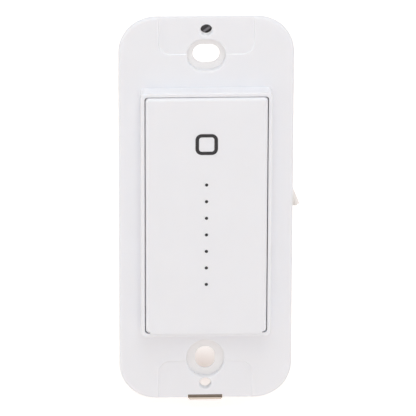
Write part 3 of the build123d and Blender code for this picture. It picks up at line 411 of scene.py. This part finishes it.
def linked(name, data):
    """A new object in the scene."""
    piece = bpy.data.objects.new(name, data)
    bpy.context.scene.collection.objects.link(piece)
    return piece


def goes_with(piece, node_name):
    """The piece belongs to a CAD node: same body, same finish."""
    dress(piece, SLOTS[node_name])
    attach(piece, NODES[node_name]["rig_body"])
    return piece


def stands_for(piece, node_name):
    """The piece belongs to a CAD node and takes its place."""
    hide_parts(node_name)
    return goes_with(piece, node_name)


def shade_softly(shape, sharp_angle):
    """Smooth faces, with a hard edge where the surface turns more sharply than this."""
    for face in shape.faces:
        face.smooth = True
    for edge in shape.edges:
        edge.smooth = len(edge.link_faces) == 2 and edge.calc_face_angle(0) < sharp_angle


def bevelled(shape, edges, offset):
    """A small round on these edges."""
    bmesh.ops.bevel(shape, geom=edges, offset=offset, segments=2, profile=0.5, affect="EDGES",
                    clamp_overlap=True, material=-1)


def smooth_skin(node_name, piece_name, sharp_angle, edge_round=0.0):
    """A merged copy of a CAD node, softly shaded, whose sharp edges get a small round."""
    same_point, no_length, flat = 0.0005 * MM, 0.0002 * MM, math.radians(0.4)
    mesh = NODES[node_name].data.copy()
    piece = linked(piece_name, mesh)
    shape = bmesh.new()
    shape.from_mesh(mesh)
    bmesh.ops.remove_doubles(shape, verts=shape.verts, dist=same_point)
    bmesh.ops.dissolve_degenerate(shape, edges=shape.edges, dist=no_length)
    if edge_round:
        bmesh.ops.dissolve_limit(shape, angle_limit=flat, verts=shape.verts, edges=shape.edges)
        corners = [edge for edge in shape.edges
                   if len(edge.link_faces) == 2 and edge.calc_face_angle(0) > sharp_angle]
        bevelled(shape, corners, edge_round)
    shade_softly(shape, sharp_angle)
    shape.to_mesh(mesh)
    shape.free()
    weighted = piece.modifiers.new("even shading", "WEIGHTED_NORMAL")
    weighted.keep_sharp = True
    return stands_for(piece, node_name)


def turned(profile, sides):
    """A shape spun once round the Y axis from its profile, a list of (radius, depth) in millimetres.

    A profile that ends where it starts gives a closed ring.
    """
    same_point = 0.001 * MM
    shape = bmesh.new()
    verts = [shape.verts.new((radius * MM, depth * MM, 0)) for radius, depth in profile]
    edges = [shape.edges.new(pair) for pair in zip(verts, verts[1:])]
    bmesh.ops.spin(shape, geom=verts + edges, cent=(0, 0, 0), axis=(0, 1, 0), angle=math.tau, steps=sides,
                   use_merge=True)
    bmesh.ops.remove_doubles(shape, verts=shape.verts, dist=same_point)
    return shape


def drawn_out(shape, sides, across, upright, centre_z):
    """Draw a spun shape out to an oval or a rounded rectangle, all in millimetres.

    It is turned by half a side, so that no point lies between two quarters. Each quarter then moves out by
    these distances, and the whole goes to its height.
    """
    half_side = Matrix.Rotation(math.pi / sides, 3, "Y")
    bmesh.ops.rotate(shape, verts=shape.verts, cent=(0, 0, 0), matrix=half_side)
    for vert in shape.verts:
        vert.co.x += math.copysign(across * MM, vert.co.x)
        vert.co.z += math.copysign(upright * MM, vert.co.z)
    bmesh.ops.translate(shape, verts=shape.verts, vec=(0, 0, centre_z * MM))


def finished_shape(name, shape):
    """The shape as an object, with its faces outwards."""
    bmesh.ops.recalc_face_normals(shape, faces=shape.faces)
    mesh = bpy.data.meshes.new(name)
    shape.to_mesh(mesh)
    shape.free()
    return linked(name, mesh)


def cutting_rim(face, flare, bend_steps):
    """A hole's cutting form, (distance out from the hole, depth): a round in these steps, then straight.

    One step makes it a chamfer. The form starts ahead of the face and ends behind the strap, to cut clean.
    """
    ahead, wider, just_ahead, behind = 1.0, 0.3, 0.02, 0.4
    rim = [(HOLE_EASE + flare + wider, face - ahead), (HOLE_EASE + flare, face - just_ahead)]
    for i in range(bend_steps + 1):
        turn = math.pi / 2 * i / bend_steps
        rim.append((HOLE_EASE + flare * (1 - math.sin(turn)), face + flare * (1 - math.cos(turn))))
    return rim + [(HOLE_EASE, behind)]


def oval_form(width, height, centre_z, rim):
    """A closed form that cuts an oval hole with this rim, all in millimetres."""
    radius = min(width, height) / 2
    sides = 120
    shape = turned([(radius + out, depth) for out, depth in rim], sides)
    bmesh.ops.holes_fill(shape, edges=[edge for edge in shape.edges if edge.is_boundary], sides=sides)
    drawn_out(shape, sides, max(width - height, 0) / 2, max(height - width, 0) / 2, centre_z)
    return shape


def fixing_recess(width, height, centre_z):
    """The form of one of the bezel's fixing recesses: its rim follows the step down to the end pad."""
    shape = oval_form(width, height, centre_z, cutting_rim(BEZEL_FACE, flare=0.42, bend_steps=6))
    for vert in shape.verts:
        if vert.co.y < STRAP_FACE * MM:
            into_pad = (abs(vert.co.z) / MM - PAD_START) / PAD_SLOPE
            vert.co.y += PAD_DEPTH * MM * min(max(into_pad, 0.0), 1.0)
    return finished_shape("recess form", shape)


def fixing_slot(width, height, centre_z):
    """The form of one of the strap's fixing slots, with the small round that punching leaves."""
    rim = cutting_rim(STRAP_FACE, flare=0.1, bend_steps=3)
    return finished_shape("slot form", oval_form(width, height, centre_z, rim))


def screw_holes(face, flare):
    """The forms of the two cover screw holes, with a chamfer."""
    rim = cutting_rim(face, flare, bend_steps=1)
    forms = [oval_form(COVER_HOLE_WIDTH, COVER_HOLE_WIDTH, height, rim) for height in COVER_HOLE_HEIGHTS]
    return [finished_shape("screw hole form", form) for form in forms]


def cut(piece, forms, sharp_angle):
    """Cut these forms out of a skin, so that its holes are smooth."""
    same_point = 0.0002 * MM
    holes = []
    for form in forms:
        hole = piece.modifiers.new("hole", "BOOLEAN")
        hole.operation = "DIFFERENCE"
        hole.solver = "EXACT"
        hole.object = form
        holes.append(hole)
    weighted = piece.modifiers["even shading"]
    weighted.show_viewport = False
    bpy.context.view_layer.update()
    mesh = bpy.data.meshes.new_from_object(piece.evaluated_get(bpy.context.evaluated_depsgraph_get()))
    weighted.show_viewport = True
    for hole in holes:
        piece.modifiers.remove(hole)
    piece.data = mesh
    shape = bmesh.new()
    shape.from_mesh(mesh)
    bmesh.ops.remove_doubles(shape, verts=shape.verts, dist=same_point)
    bmesh.ops.recalc_face_normals(shape, faces=shape.faces)
    shade_softly(shape, sharp_angle)
    shape.to_mesh(mesh)
    shape.free()
    for form in forms:
        bpy.data.objects.remove(form)


def hole_collar():
    """The bezel's short collar round the bottom cover screw hole, inside the pull blade's slot."""
    front, rear = -1.42, -0.71
    inner, outer, round_off = 1.475, 1.78, 0.08
    shape = turned([(inner, front), (outer, front), (outer, rear + round_off), (outer - round_off, rear),
                    (inner, rear), (inner, front)], sides=48)
    bmesh.ops.translate(shape, verts=shape.verts, vec=(0, 0, COVER_HOLE_HEIGHTS[1] * MM))
    return goes_with(finished_shape("hole_collar", shape), "bezel")


def moulded_band(name, section, half_width, half_height, centre_z=0.0):
    """A band round a rounded rectangle of the housing, from its section's (corner radius, depth) in mm."""
    sides = 36
    shape = turned(section + section[:1], sides)
    drawn_out(shape, sides, half_width, half_height, centre_z)
    return goes_with(finished_shape(name, shape), "rear_housing")


def snap_wedges(half_width):
    """The four wedges on the housing's long sides that hold its two halves together."""
    ramp = [(-0.3, 2.0), (0.7, 6.4), (0.7, 7.5), (-0.3, 7.5)]
    half_length, middle = 4.0, 17.0
    slight_bend, edge_round = 0.3, 0.12
    shape = bmesh.new()
    start = middle - half_length
    outline = [shape.verts.new(((half_width + out) * MM, depth * MM, start * MM)) for out, depth in ramp]
    drawn = bmesh.ops.extrude_face_region(shape, geom=[shape.faces.new(outline)])["geom"]
    bmesh.ops.translate(shape, verts=[part for part in drawn if isinstance(part, bmesh.types.BMVert)],
                        vec=(0, 0, 2 * half_length * MM))
    bmesh.ops.recalc_face_normals(shape, faces=shape.faces)
    corners = [edge for edge in shape.edges if edge.calc_face_angle(0) > slight_bend]
    bevelled(shape, corners, edge_round * MM)
    for axis in ("X", "Z"):
        whole = shape.verts[:] + shape.edges[:] + shape.faces[:]
        bmesh.ops.mirror(shape, geom=whole, axis=axis, merge_dist=0)
    return goes_with(finished_shape("snap_wedges", shape), "rear_housing")


def housing_mouldings():
    """The housing's parting bead, the raised edge round its bare label field, and its snap wedges."""
    half_width, half_height, corner = 20.0, 33.4, 3.0
    straight, rear = 14.0, 34.0
    moulded_band("parting_bead", [
        (corner - 0.05, straight - 0.45), (corner + 0.16, straight - 0.4), (corner + 0.22, straight - 0.25),
        (corner + 0.22, straight + 0.2), (corner + 0.12, straight + 0.35), (corner - 0.3, straight + 0.5),
    ], half_width - corner, half_height - corner)
    moulded_band("label_field_edge", [
        (1.6, rear - 0.05), (1.5, rear + 0.22), (1.2, rear + 0.22), (1.1, rear - 0.05),
    ], half_width=10.9, half_height=5.7, centre_z=-3.6)
    snap_wedges(half_width)


def round_curve(name, radius, bevel_resolution):
    """An empty curve that draws its splines as round tubes with closed ends."""
    curve = bpy.data.curves.new(name, "CURVE")
    curve.dimensions = "3D"
    curve.bevel_depth = radius
    curve.bevel_resolution = bevel_resolution
    curve.use_fill_caps = True
    return curve


def insulated_lead(sizes):
    """The lead's insulation, one smooth tube along its route."""
    curve = round_curve("black_lead_curve", sizes.lead_diameter / 2, bevel_resolution=8)
    curve.resolution_u = 24
    spline = curve.splines.new("NURBS")
    spline.points.add(len(LEAD_ROUTE) - 1)
    for point, place in zip(spline.points, LEAD_ROUTE):
        point.co = (*place, 1.0)
    spline.order_u = 3
    spline.use_endpoint_u = True
    return linked("lead_insulation", curve)


def strand_bundle(sizes):
    """Twisted strands along the lead's last run and out to their bent tip, in a core and two rings."""
    start, tip = Vector(LEAD_ROUTE[-1]), Vector(STRAND_TIP)
    run = (start - Vector(LEAD_ROUTE[-2])).normalized()
    knee = start + run * STRAND_KNEE
    out = (tip - knee).normalized()
    length = STRAND_KNEE + (tip - knee).length
    across = run.cross(Vector((0, 1, 0))).normalized()
    strand_r = sizes.strand_diameter / 2
    curve = round_curve("strands_curve", strand_r, bevel_resolution=3)
    rings = [(1, 0.0), (6, 2 * strand_r), (sizes.strand_count - 7, sizes.bundle_diameter / 2 - strand_r)]
    steps, uneven_by = 36, 0.0003
    closes_from, closes_by = 0.9, 0.18
    for count, reach in rings:
        for i in range(count):
            spline = curve.splines.new("POLY")
            spline.points.add(steps)
            drawn_back = uneven_by * ((i * 7) % 5) / 5 if reach else 0.0
            for step in range(steps + 1):
                along = (length - drawn_back) * step / steps
                turn = math.tau * (i / count + along / sizes.strand_lay)
                bend = min(max((along - STRAND_KNEE / 2) / STRAND_KNEE, 0.0), 1.0)
                heading = run.lerp(out, bend).normalized()
                centre = start + run * along if along < STRAND_KNEE else knee + out * (along - STRAND_KNEE)
                side = (across - heading * across.dot(heading)).normalized()
                up = heading.cross(side)
                closing = max(0.0, along / length - closes_from) / (1 - closes_from)
                narrowed = reach * (1 - closes_by * closing)
                place = centre + (side * math.cos(turn) + up * math.sin(turn)) * narrowed
                spline.points[step].co = (*place, 1.0)
    return linked("bare_strands", curve)


# Panel properties


class DimmerSizes(PropertyGroup):
    lead_diameter: FloatProperty(
        name="Lead diameter", description="Outer diameter of the insulated lead",
        default=2.6 * MM, min=MM, subtype="DISTANCE", unit="LENGTH", precision=4)
    lead_length: FloatProperty(
        name="Lead length", description="Length of the insulated lead from the rear wall",
        default=116 * MM, subtype="DISTANCE", unit="LENGTH", precision=4)
    strand_diameter: FloatProperty(
        name="Strand diameter", description="Diameter of one tinned strand",
        default=0.42 * MM, subtype="DISTANCE", unit="LENGTH", precision=5)
    bundle_diameter: FloatProperty(
        name="Bundle diameter", description="Diameter over all the twisted strands",
        default=1.96 * MM, subtype="DISTANCE", unit="LENGTH", precision=5)
    strand_lay: FloatProperty(
        name="Strand lay", description="Length in which a strand goes once round",
        default=14 * MM, subtype="DISTANCE", unit="LENGTH", precision=4)
    strand_count: IntProperty(
        name="Strands", description="Number of strands in the bare end", default=18, min=9)
    bezel_round: FloatProperty(
        name="Bezel edge round", description="Moulded round on the bezel's sharp edges",
        default=0.07 * MM, min=0, subtype="DISTANCE", unit="LENGTH", precision=5)
    strap_round: FloatProperty(
        name="Strap edge round", description="Round that punching leaves on the strap's edges",
        default=0.04 * MM, min=0, subtype="DISTANCE", unit="LENGTH", precision=5)
    paddle_round: FloatProperty(
        name="Paddle edge round", description="Moulded round on the paddle's sharp edges",
        default=0.06 * MM, min=0, subtype="DISTANCE", unit="LENGTH", precision=5)
    housing_round: FloatProperty(
        name="Housing edge round", description="Moulded round on the rear housing's sharp edges",
        default=0.08 * MM, min=0, subtype="DISTANCE", unit="LENGTH", precision=5)
    soft_angle: FloatProperty(
        name="Soft edge angle", description="Edges flatter than this shade as one rounded surface",
        default=math.radians(32), subtype="ANGLE")


class DimmerColours(PropertyGroup):
    front_dark: FloatVectorProperty(
        name="Front, darker", description="Darker of the two near tones of the bezel and the paddle",
        default=hex_colour("#edeef2"), subtype="COLOR", size=4, min=0, max=1)
    front_light: FloatVectorProperty(
        name="Front, lighter", description="Lighter of the two near tones of the bezel and the paddle",
        default=hex_colour("#f0f1f5"), subtype="COLOR", size=4, min=0, max=1)
    housing_dark: FloatVectorProperty(
        name="Housing, darker", description="Darker of the two near tones of the rear housing",
        default=hex_colour("#e0dfdd"), subtype="COLOR", size=4, min=0, max=1)
    housing_light: FloatVectorProperty(
        name="Housing, lighter", description="Lighter of the two near tones of the rear housing",
        default=hex_colour("#e8e7e5"), subtype="COLOR", size=4, min=0, max=1)


class DimmerStudio(PropertyGroup):
    floor_colour: FloatVectorProperty(
        name="Floor colour", description="Colour of the floor under the dimmer",
        default=hex_colour("#f7f0ec"), subtype="COLOR", size=4, min=0, max=1)
    key_power: FloatProperty(
        name="Key power", description="Power of the large lamp above the front", default=2.3, unit="POWER")
    sky_strength: FloatProperty(
        name="Sky strength", description="Strength of the even light from all round", default=0.525)
    front_power: FloatProperty(
        name="Front power", description="Power of the wide lamp below the camera", default=2.95, unit="POWER")
    top_power: FloatProperty(
        name="Top power", description="Power of the lamp high above the front", default=3.3, unit="POWER")
    side_power: FloatProperty(
        name="Side power", description="Power of the left lamp; the right one has half of it",
        default=2.0, unit="POWER")
    rear_power: FloatProperty(
        name="Rear power", description="Power of the lamp behind the dimmer", default=1.6, unit="POWER")


# Operators


class DIMMER_OT_finishes(Operator):
    """Give every construction node its finish"""
    bl_idname = "dimmer.finishes"
    bl_label = "Finishes"

    def execute(self, context):
        for name, node in NODES.items():
            dress(node, SLOTS[name])
        return {"FINISHED"}


class DIMMER_OT_bezel(Operator):
    """Build the moulded bezel with its smooth recesses and screw holes"""
    bl_idname = "dimmer.bezel"
    bl_label = "Bezel"

    def execute(self, context):
        sizes = context.scene.dimmer_sizes
        forms = [fixing_recess(*recess) for recess in BEZEL_RECESSES]
        forms += screw_holes(BEZEL_FACE + PAD_DEPTH, flare=0.26)
        cut(smooth_skin("bezel", "front_bezel", sizes.soft_angle, sizes.bezel_round), forms, sizes.soft_angle)
        return {"FINISHED"}


class DIMMER_OT_strap(Operator):
    """Build the mounting strap with its smooth slots and screw holes"""
    bl_idname = "dimmer.strap"
    bl_label = "Strap"

    def execute(self, context):
        sizes = context.scene.dimmer_sizes
        forms = [fixing_slot(*slot) for slot in STRAP_SLOTS] + screw_holes(STRAP_FACE, flare=0.1)
        cut(smooth_skin("strap", "wall_strap", sizes.soft_angle, sizes.strap_round), forms, sizes.soft_angle)
        return {"FINISHED"}


class DIMMER_OT_paddle(Operator):
    """Build the paddle and the ring in its face"""
    bl_idname = "dimmer.paddle"
    bl_label = "Paddle"

    def execute(self, context):
        sizes = context.scene.dimmer_sizes
        smooth_skin("paddle", "press_paddle", sizes.soft_angle, sizes.paddle_round)
        smooth_skin("mark_window", "mark_ring", sizes.soft_angle)
        return {"FINISHED"}


class DIMMER_OT_collar(Operator):
    """Build the collar round the bezel's bottom screw hole"""
    bl_idname = "dimmer.collar"
    bl_label = "Screw hole collar"

    def execute(self, context):
        hole_collar()
        return {"FINISHED"}


class DIMMER_OT_springs(Operator):
    """Build the paddle's two springs, on a mesh of their own"""
    bl_idname = "dimmer.springs"
    bl_label = "Springs"

    def execute(self, context):
        springs = smooth_skin("paddle_springs", "paddle_coils", context.scene.dimmer_sizes.soft_angle)
        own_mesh(springs)
        return {"FINISHED"}


class DIMMER_OT_air_gap(Operator):
    """Build the air-gap pull's blade"""
    bl_idname = "dimmer.air_gap"
    bl_label = "Air-gap pull"

    def execute(self, context):
        smooth_skin("airgap_blade", "pull_blade", context.scene.dimmer_sizes.soft_angle)
        return {"FINISHED"}


class DIMMER_OT_housing(Operator):
    """Build the shell of the rear housing"""
    bl_idname = "dimmer.housing"
    bl_label = "Rear housing"

    def execute(self, context):
        sizes = context.scene.dimmer_sizes
        smooth_skin("rear_housing", "housing_shell", sizes.soft_angle, sizes.housing_round)
        return {"FINISHED"}


class DIMMER_OT_seals(Operator):
    """Build the seals of the leads' outlets"""
    bl_idname = "dimmer.seals"
    bl_label = "Outlet seals"

    def execute(self, context):
        smooth_skin("lead_seals", "outlet_seals", context.scene.dimmer_sizes.soft_angle)
        return {"FINISHED"}


class DIMMER_OT_screws(Operator):
    """Build the long screws that hold the housing"""
    bl_idname = "dimmer.screws"
    bl_label = "Housing screws"

    def execute(self, context):
        smooth_skin("housing_screws", "long_screws", context.scene.dimmer_sizes.soft_angle)
        return {"FINISHED"}


class DIMMER_OT_mouldings(Operator):
    """Build the housing's parting bead, the edge of its label field and its snap wedges"""
    bl_idname = "dimmer.mouldings"
    bl_label = "Housing mouldings"

    def execute(self, context):
        housing_mouldings()
        return {"FINISHED"}


class DIMMER_OT_lead(Operator):
    """Build the black lead and its bare strands"""
    bl_idname = "dimmer.lead"
    bl_label = "Lead"

    def execute(self, context):
        sizes = context.scene.dimmer_sizes
        lead = stands_for(insulated_lead(sizes), "black_lead")
        strands = stands_for(strand_bundle(sizes), "lead_strands")
        return {"FINISHED"}


class DIMMER_OT_stage(Operator):
    """Set the floor, the light and the photograph's camera"""
    bl_idname = "dimmer.stage"
    bl_label = "Stage"

    def execute(self, context):
        studio = context.scene.dimmer_studio
        context.scene.view_settings.view_transform = "Standard"
        self.make_world(context.scene, studio)
        self.make_floor(studio)
        self.make_lamps(studio)
        self.make_camera(context.scene)
        return {"FINISHED"}

    def seen_ray(self, tree):
        """1 for rays of the camera, of gloss and of glass, else 0."""
        path = add(tree, "ShaderNodeLightPath")
        either = add(tree, "ShaderNodeMath", {
            0: path.outputs["Is Camera Ray"], 1: path.outputs["Is Glossy Ray"]}, operation="MAXIMUM")
        seen = add(tree, "ShaderNodeMath", {
            0: either.outputs[0], 1: path.outputs["Is Transmission Ray"]}, operation="MAXIMUM")
        return seen.outputs[0]

    def make_world(self, scene, studio):
        """Even light from all round, behind which the camera sees plain white."""
        world = bpy.data.worlds.new("even studio light")
        scene.world = world
        world.use_nodes = True
        tree = world.node_tree
        tree.nodes.clear()
        lighting = add(tree, "ShaderNodeBackground", {"Color": "#ffffff", "Strength": studio.sky_strength})
        seen = add(tree, "ShaderNodeBackground", {"Color": "#ffffff", "Strength": 1.0})
        mix = add(tree, "ShaderNodeMixShader",
                  {0: self.seen_ray(tree), 1: lighting.outputs[0], 2: seen.outputs[0]})
        add(tree, "ShaderNodeOutputWorld", {"Surface": mix.outputs[0]})

    def make_floor(self, studio):
        """White studio paper; the glow that makes it read white is darker and warmer below the housing, as
        painted shade.
        """
        shape = bmesh.new()
        bmesh.ops.create_grid(shape, x_segments=1, y_segments=1, size=1.5)
        bmesh.ops.translate(shape, verts=shape.verts, vec=(0, 0, FLOOR_HEIGHT))
        mesh = bpy.data.meshes.new("floor")
        shape.to_mesh(mesh)
        shape.free()
        material, tree, place = started("studio paper")
        in_shade = add(tree, "ShaderNodeMapping", {
            "Vector": place, "Location": SHADE_CENTRE, "Scale": SHADE_REACH}, vector_type="TEXTURE")
        reach = add(tree, "ShaderNodeVectorMath", {0: in_shade.outputs[0]}, operation="LENGTH")
        away = add(tree, "ShaderNodeMapRange", {
            "Value": reach.outputs["Value"], "From Min": 0.05, "From Max": 1.0})
        # Painted shade: the glow is darker and warmer towards the shade's centre
        glow_colour = add(tree, "ShaderNodeMix", {
            0: away.outputs[0], 6: "#76655f", 7: "#bcbcbc"}, data_type="RGBA")
        glow = add(tree, "ShaderNodeEmission", {"Color": glow_colour.outputs[2], "Strength": 1.0})
        paper = add(tree, "ShaderNodeBsdfDiffuse", {"Color": studio.floor_colour})
        both = add(tree, "ShaderNodeAddShader", {0: paper.outputs[0], 1: glow.outputs[0]})
        mix = add(tree, "ShaderNodeMixShader", {
            0: self.seen_ray(tree), 1: paper.outputs[0], 2: both.outputs[0]})
        mesh.materials.append(finished(material, mix))
        linked("floor", mesh)

    def make_lamps(self, studio):
        """Round soft lamps that look at the dimmer: name, place, size and power."""
        for name, place, size, power in [
            ("key lamp", (0.08, -0.95, 0.95), 0.9, studio.key_power),
            ("front lamp", (0.0, -1.3, 0.12), 1.0, studio.front_power),
            ("top lamp", (0.05, -0.33, 1.15), 0.9, studio.top_power),
            ("left lamp", (-1.2, -0.15, 0.25), 0.8, studio.side_power),
            ("right lamp", (1.2, -0.15, 0.25), 0.8, 0.5 * studio.side_power),
            ("rear lamp", (0.1, 1.25, 0.5), 0.9, studio.rear_power),
        ]:
            light = bpy.data.lights.new(name, "AREA")
            light.shape = "DISK"
            light.size = size
            light.energy = power
            lamp = linked(name, light)
            lamp.location = place
            lamp.rotation_euler = (-Vector(place)).to_track_quat("-Z", "Y").to_euler()

    def make_camera(self, scene):
        """The photograph's camera, from a fit to the bezel, its holes and the nose."""
        elevation = math.radians(22.46)
        azimuth = math.radians(-2.08)
        roll = math.radians(0.19)
        distance = 1.2575
        frame_px = 416
        focal_px = 4962.8
        target = Vector((0.54 * MM, -2.6 * MM, 0.52 * MM))
        back = Vector((math.sin(azimuth) * math.cos(elevation), -math.cos(azimuth) * math.cos(elevation),
                       math.sin(elevation)))
        right = Vector((math.cos(azimuth), math.sin(azimuth), 0))
        up = back.cross(right)
        turned_right = right * math.cos(roll) + up * math.sin(roll)
        turned_up = up * math.cos(roll) - right * math.sin(roll)
        data = bpy.data.cameras.new("photo camera")
        data.sensor_width = 36.0
        data.lens = data.sensor_width * focal_px / frame_px
        data.clip_end = 20
        camera = linked("photo camera", data)
        place = Matrix((turned_right, turned_up, back)).transposed().to_4x4()
        place.translation = target + back * distance
        camera.matrix_world = place
        scene.camera = camera


class DIMMER_PT_panel(Panel):
    """The dimmer's builders and values"""
    bl_label = "Dimmer"
    bl_idname = "DIMMER_PT_panel"
    bl_space_type = "VIEW_3D"
    bl_region_type = "UI"
    bl_category = "Dimmer"

    def draw(self, context):
        for name in OPERATORS:
            self.layout.operator(name)
        scene = context.scene
        for group in (scene.dimmer_sizes, scene.dimmer_colours, scene.dimmer_studio):
            for key in group.__annotations__:
                self.layout.prop(group, key)


# The operators in the order in which main calls them
OPERATORS = [
    "dimmer.finishes", "dimmer.lead", "dimmer.bezel", "dimmer.strap", "dimmer.paddle", "dimmer.collar",
    "dimmer.springs", "dimmer.air_gap", "dimmer.housing", "dimmer.seals", "dimmer.screws",
    "dimmer.mouldings", "dimmer.stage",
]
CLASSES = [
    DimmerSizes, DimmerColours, DimmerStudio, DIMMER_OT_finishes, DIMMER_OT_lead, DIMMER_OT_bezel,
    DIMMER_OT_strap, DIMMER_OT_paddle, DIMMER_OT_collar, DIMMER_OT_springs, DIMMER_OT_air_gap,
    DIMMER_OT_housing, DIMMER_OT_seals, DIMMER_OT_screws, DIMMER_OT_mouldings, DIMMER_OT_stage,
    DIMMER_PT_panel,
]


def register():
    for item in CLASSES:
        bpy.utils.register_class(item)
    bpy.types.Scene.dimmer_sizes = PointerProperty(type=DimmerSizes)
    bpy.types.Scene.dimmer_colours = PointerProperty(type=DimmerColours)
    bpy.types.Scene.dimmer_studio = PointerProperty(type=DimmerStudio)


def unregister():
    del bpy.types.Scene.dimmer_studio
    del bpy.types.Scene.dimmer_colours
    del bpy.types.Scene.dimmer_sizes
    for item in reversed(CLASSES):
        bpy.utils.unregister_class(item)


def main():
    register()
    for name in OPERATORS:
        group, operator = name.split(".")
        getattr(getattr(bpy.ops, group), operator)()


if __name__ == "__main__":
    main()
